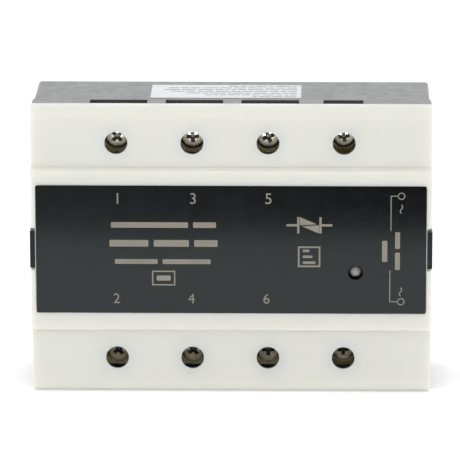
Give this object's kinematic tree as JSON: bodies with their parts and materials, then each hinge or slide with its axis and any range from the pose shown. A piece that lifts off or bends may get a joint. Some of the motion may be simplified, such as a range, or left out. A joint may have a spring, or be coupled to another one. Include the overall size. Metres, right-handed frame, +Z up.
{
  "type": "solid state relay",
  "caption": "Flat three-pole solid state relay with a clip-on cover over recessed clamp screws, a control input with a lamp, and a flat metal face for a heatsink.",
  "frame": {"origin": "centre of the flat rear face of the base plate, where the relay meets its heatsink", "axes": "+X to the right along the terminal rows, +Y out of the rear face into the heatsink, +Z up; the front faces -Y"},
  "size_m": [0.1054, 0.0346, 0.0774],
  "materials": {
    "cover_plastic": "fine moulded, satin",
    "base_plastic": "fine moulded, satin",
    "label_film": "printed film, fine grain",
    "sticker_film": "printed sticker",
    "plate_aluminium": "milled",
    "screw_nickel": "bright nickel plated",
    "washer_steel": "zinc plated",
    "screw_steel": "zinc plated",
    "terminal_brass": "tarnished brass",
    "ceramic_white": "fired alumina",
    "copper": "bare copper",
    "silicon": "passivated chip",
    "tinned_wire": "tinned wire",
    "potting_gel": "cured silicone gel",
    "board_laminate": "solder resist",
    "black_epoxy": "moulded epoxy",
    "capacitor_case": "film capacitor case",
    "resistor_body": "lacquered body with colour bands",
    "varistor_coating": "dipped coating",
    "capacitor_sleeve": "shrink sleeve",
    "diode_glass": "glass body",
    "lamp_lens": "diffused lens",
    "spacer_nylon": "natural nylon"
  },
  "bodies": {
    "housing": {"base_plate": "plate_aluminium", "base_housing": "base_plastic", "housing_screws": "screw_steel", "ceramic_substrates": "ceramic_white", "copper_tracks": "copper", "thyristor_chips": "silicon", "chip_straps": "copper", "gate_leads": "tinned_wire", "potting_compound": "potting_gel", "power_nuts": "screw_steel", "control_nuts": "screw_steel", "control_board": "board_laminate", "board_screws": "screw_steel", "optocouplers": "black_epoxy", "snubber_capacitors": "capacitor_case", "snubber_resistors": "resistor_body", "varistors": "varistor_coating", "bridge_rectifier": "black_epoxy", "smoothing_capacitor": "capacitor_sleeve", "control_transistor": "black_epoxy", "zener_diode": "diode_glass", "input_resistors": "resistor_body", "indicator_lamp": "lamp_lens", "lamp_spacer": "spacer_nylon", "latch_left": "base_plastic", "latch_right": "base_plastic", "rating_sticker": "sticker_film", "terminal_bar_1": "terminal_brass", "terminal_bar_3": "terminal_brass", "terminal_bar_5": "terminal_brass", "control_bar_1": "terminal_brass", "terminal_bar_2": "terminal_brass", "terminal_bar_4": "terminal_brass", "terminal_bar_6": "terminal_brass", "control_bar_2": "terminal_brass"},
    "cover": {"front_cover": "cover_plastic", "label_plate": "label_film"},
    "washers_1": {"clamp_washers_1": "washer_steel"},
    "screw_1": {"terminal_screw_1": "screw_nickel"},
    "washers_3": {"clamp_washers_3": "washer_steel"},
    "screw_3": {"terminal_screw_3": "screw_nickel"},
    "washers_5": {"clamp_washers_5": "washer_steel"},
    "screw_5": {"terminal_screw_5": "screw_nickel"},
    "washers_a1": {"control_washers_1": "washer_steel"},
    "screw_a1": {"control_screw_1": "screw_nickel"},
    "washers_2": {"clamp_washers_2": "washer_steel"},
    "screw_2": {"terminal_screw_2": "screw_nickel"},
    "washers_4": {"clamp_washers_4": "washer_steel"},
    "screw_4": {"terminal_screw_4": "screw_nickel"},
    "washers_6": {"clamp_washers_6": "washer_steel"},
    "screw_6": {"terminal_screw_6": "screw_nickel"},
    "washers_a2": {"control_washers_2": "washer_steel"},
    "screw_a2": {"control_screw_2": "screw_nickel"}
  },
  "joints": [
    {"name": "cover_lift", "type": "slide", "parent": "housing", "child": "cover", "axis": [0, -1, 0], "range_m": [0, 0.036], "deforming": ["latch_left", "latch_right"]},
    {"name": "washer_travel_1", "type": "slide", "parent": "housing", "child": "washers_1", "axis": [0, -1, 0], "range_m": [-0.003, 0.0025]},
    {"name": "screw_turn_1", "type": "hinge", "parent": "washers_1", "child": "screw_1", "pos_m": [-0.03, -0.0205, 0.029], "axis": [0, -1, 0], "range_deg": [-1542.9, 1285.7]},
    {"name": "washer_travel_3", "type": "slide", "parent": "housing", "child": "washers_3", "axis": [0, -1, 0], "range_m": [-0.003, 0.0025]},
    {"name": "screw_turn_3", "type": "hinge", "parent": "washers_3", "child": "screw_3", "pos_m": [-0.01017, -0.0205, 0.029], "axis": [0, -1, 0], "range_deg": [-1542.9, 1285.7]},
    {"name": "washer_travel_5", "type": "slide", "parent": "housing", "child": "washers_5", "axis": [0, -1, 0], "range_m": [-0.003, 0.0025]},
    {"name": "screw_turn_5", "type": "hinge", "parent": "washers_5", "child": "screw_5", "pos_m": [0.00966, -0.0205, 0.029], "axis": [0, -1, 0], "range_deg": [-1542.9, 1285.7]},
    {"name": "washer_travel_a1", "type": "slide", "parent": "housing", "child": "washers_a1", "axis": [0, -1, 0], "range_m": [-0.003, 0.0025]},
    {"name": "screw_turn_a1", "type": "hinge", "parent": "washers_a1", "child": "screw_a1", "pos_m": [0.0295, -0.0205, 0.029], "axis": [0, -1, 0], "range_deg": [-1800, 1500]},
    {"name": "washer_travel_2", "type": "slide", "parent": "housing", "child": "washers_2", "axis": [0, -1, 0], "range_m": [-0.003, 0.0025]},
    {"name": "screw_turn_2", "type": "hinge", "parent": "washers_2", "child": "screw_2", "pos_m": [-0.03, -0.0205, -0.029], "axis": [0, -1, 0], "range_deg": [-1542.9, 1285.7]},
    {"name": "washer_travel_4", "type": "slide", "parent": "housing", "child": "washers_4", "axis": [0, -1, 0], "range_m": [-0.003, 0.0025]},
    {"name": "screw_turn_4", "type": "hinge", "parent": "washers_4", "child": "screw_4", "pos_m": [-0.01017, -0.0205, -0.029], "axis": [0, -1, 0], "range_deg": [-1542.9, 1285.7]},
    {"name": "washer_travel_6", "type": "slide", "parent": "housing", "child": "washers_6", "axis": [0, -1, 0], "range_m": [-0.003, 0.0025]},
    {"name": "screw_turn_6", "type": "hinge", "parent": "washers_6", "child": "screw_6", "pos_m": [0.00966, -0.0205, -0.029], "axis": [0, -1, 0], "range_deg": [-1542.9, 1285.7]},
    {"name": "washer_travel_a2", "type": "slide", "parent": "housing", "child": "washers_a2", "axis": [0, -1, 0], "range_m": [-0.003, 0.0025]},
    {"name": "screw_turn_a2", "type": "hinge", "parent": "washers_a2", "child": "screw_a2", "pos_m": [0.0295, -0.0205, -0.029], "axis": [0, -1, 0], "range_deg": [-1800, 1500]}
  ],
  "couplings": [
    {"joint": "screw_turn_1", "follows": "washer_travel_1", "rad_per_m": 8976},
    {"joint": "screw_turn_3", "follows": "washer_travel_3", "rad_per_m": 8976},
    {"joint": "screw_turn_5", "follows": "washer_travel_5", "rad_per_m": 8976},
    {"joint": "screw_turn_a1", "follows": "washer_travel_a1", "rad_per_m": 10472},
    {"joint": "screw_turn_2", "follows": "washer_travel_2", "rad_per_m": 8976},
    {"joint": "screw_turn_4", "follows": "washer_travel_4", "rad_per_m": 8976},
    {"joint": "screw_turn_6", "follows": "washer_travel_6", "rad_per_m": 8976},
    {"joint": "screw_turn_a2", "follows": "washer_travel_a2", "rad_per_m": 10472}
  ]
}
